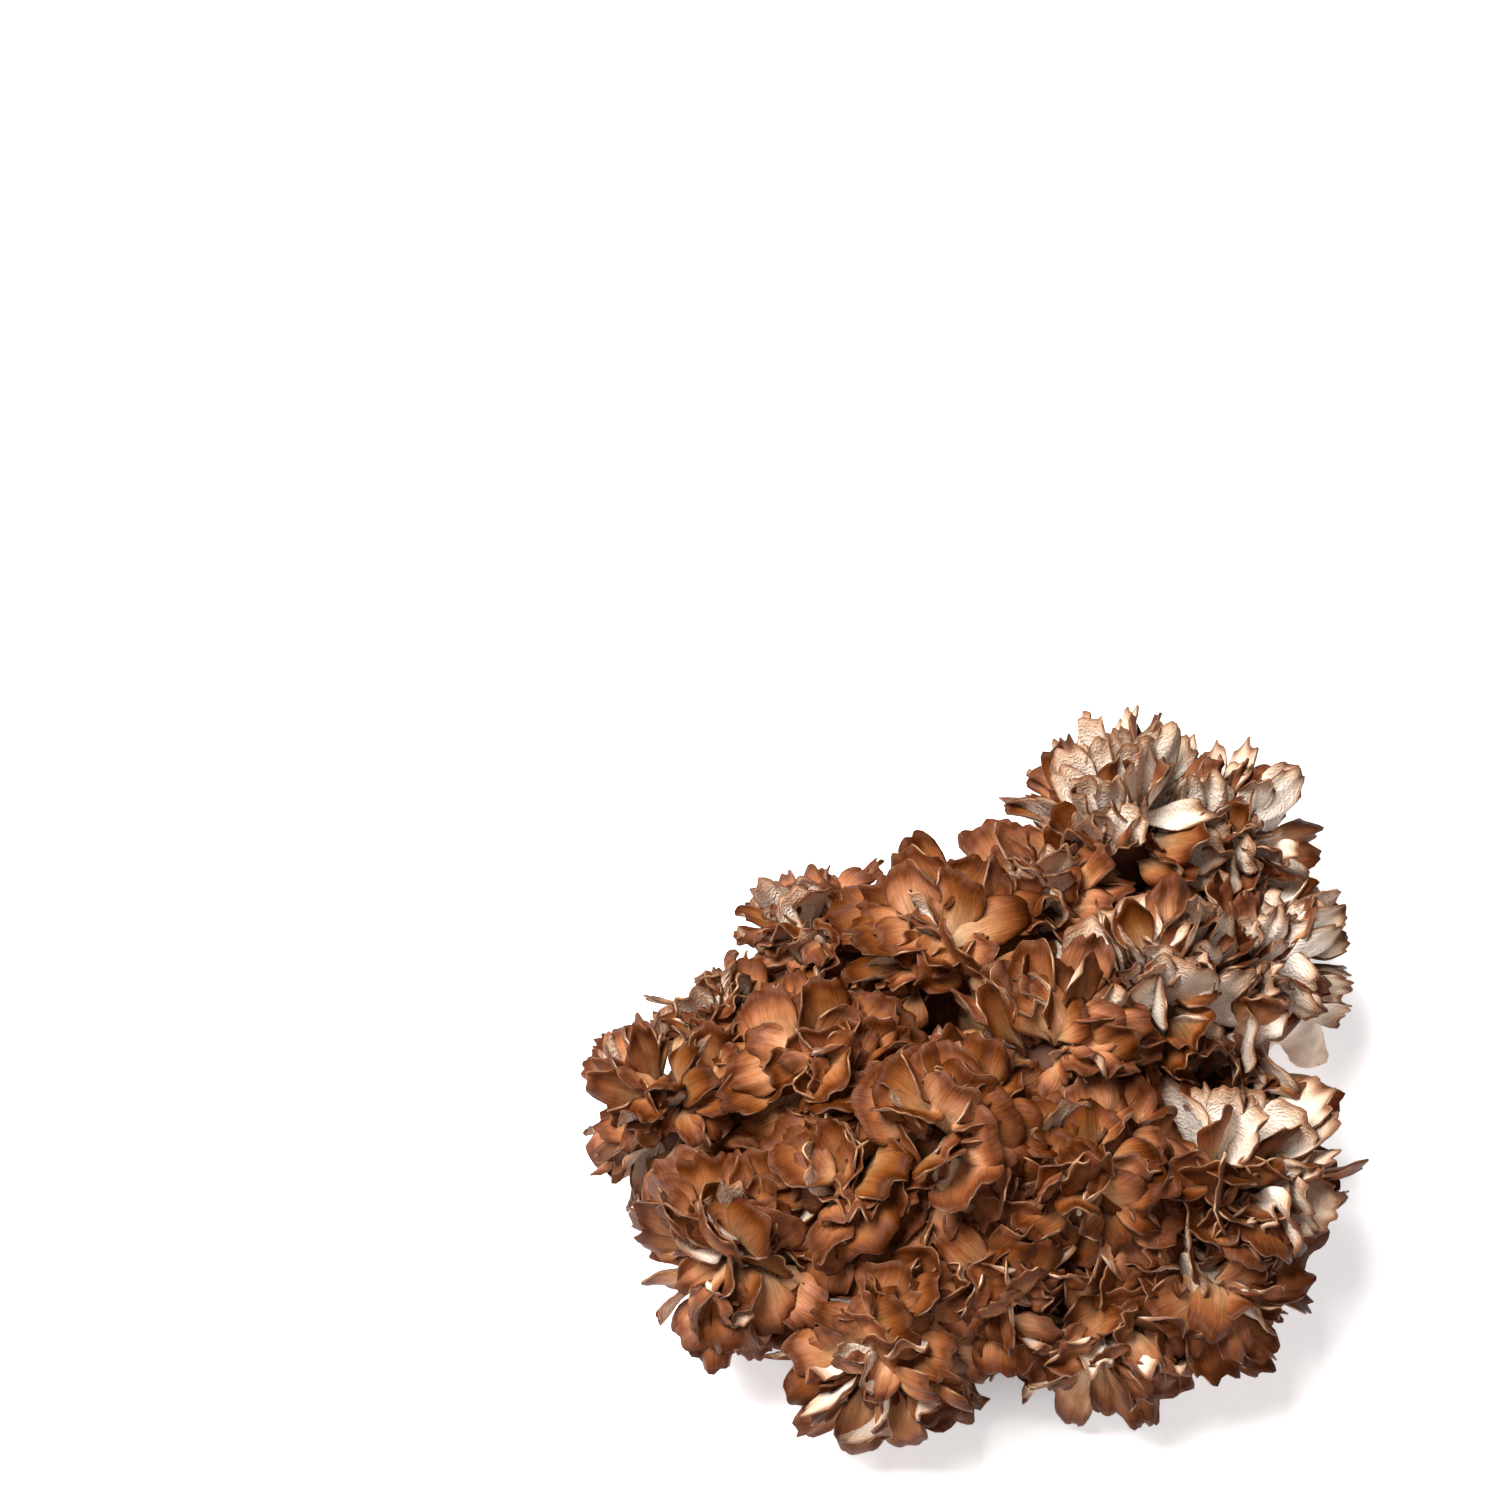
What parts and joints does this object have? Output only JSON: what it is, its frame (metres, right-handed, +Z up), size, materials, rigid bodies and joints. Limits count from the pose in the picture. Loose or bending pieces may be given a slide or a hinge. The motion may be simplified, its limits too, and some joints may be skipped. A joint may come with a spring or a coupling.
{
  "type": "maitake mushroom",
  "caption": "Maitake cluster: a flat-cut foot divides into branches, each ending in a dense rosette of thin waved brown fans with pale undersides.",
  "frame": {"origin": "centre of the cluster's box seen from above, at the height of the flat cut end of the foot that it stands on", "axes": "+Z up from the cut end, +X towards the bare stub at the right of the picture, -Y towards the camera"},
  "size_m": [0.2368, 0.2233, 0.1007],
  "materials": {
    "cap_skin": "matte",
    "pore_surface": "matte",
    "flesh": "matte"
  },
  "bodies": {
    "root": {"foot": "flesh", "branch_left": "cap_skin", "branch_left_back": "cap_skin", "branch_front_left": "cap_skin", "branch_back_left": "cap_skin", "branch_crown_left": "cap_skin", "branch_crown_front": "cap_skin", "branch_front": "cap_skin", "branch_front_low": "cap_skin", "branch_front_right": "cap_skin", "branch_crown_back": "cap_skin", "branch_back_middle": "cap_skin", "branch_back": "cap_skin", "branch_right": "cap_skin", "branch_right_low": "cap_skin", "branch_crown_right": "cap_skin", "branch_front_corner": "cap_skin", "branch_crown_corner": "cap_skin", "branch_crown": "cap_skin", "branch_front_middle": "cap_skin", "branch_corner_low": "cap_skin", "branch_back_right": "cap_skin"}
  },
  "joints": []
}
